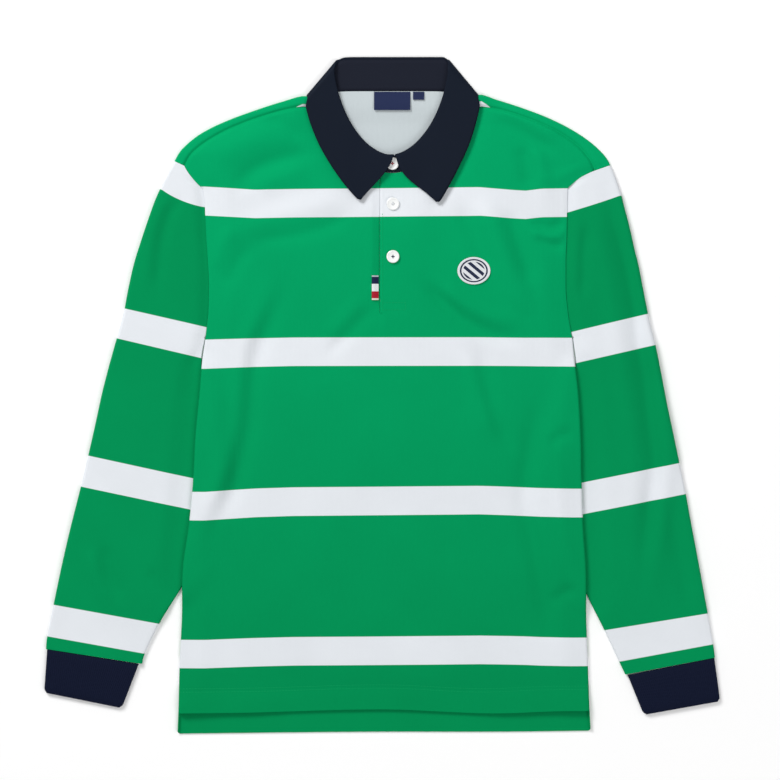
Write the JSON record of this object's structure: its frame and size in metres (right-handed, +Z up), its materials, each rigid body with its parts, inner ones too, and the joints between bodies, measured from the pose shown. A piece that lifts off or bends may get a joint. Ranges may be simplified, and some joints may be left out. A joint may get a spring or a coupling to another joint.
{
  "type": "polo shirt, long-sleeved, laid flat",
  "caption": "Long-sleeved green polo shirt with white stripes and a navy collar and cuffs, buttoned and laid flat on its back.",
  "frame": {"origin": "centre of the underside of the overall box, on the table that the shirt lies on", "axes": "+Z up from the table, +Y towards the collar, +X towards the wearer's left sleeve"},
  "size_m": [0.7627, 0.7644, 0.0088],
  "materials": {
    "green_jersey": "matt knit, the ground colour of the body and the sleeves",
    "white_jersey": "matt knit, the stripes across the body and the sleeves",
    "navy_twill": "matt, smooth",
    "navy_rib": "matt, fine rib",
    "navy_label": "woven satin",
    "white_button": "semi-gloss",
    "woven_tape": "woven",
    "embroidered_patch": "embroidered"
  },
  "bodies": {
    "root": {"front": "green_jersey", "back": "green_jersey", "sleeve_left": "green_jersey", "sleeve_right": "green_jersey", "cuff_left": "navy_rib", "cuff_right": "navy_rib", "collar_leaf": "navy_twill", "collar_band": "navy_twill", "placket_upper": "green_jersey", "placket_under": "green_jersey", "button_1": "white_button", "button_2": "white_button", "button_3": "white_button", "flag_tab": "woven_tape", "badge": "embroidered_patch", "neck_label": "navy_label", "size_tab": "navy_label"}
  },
  "joints": []
}
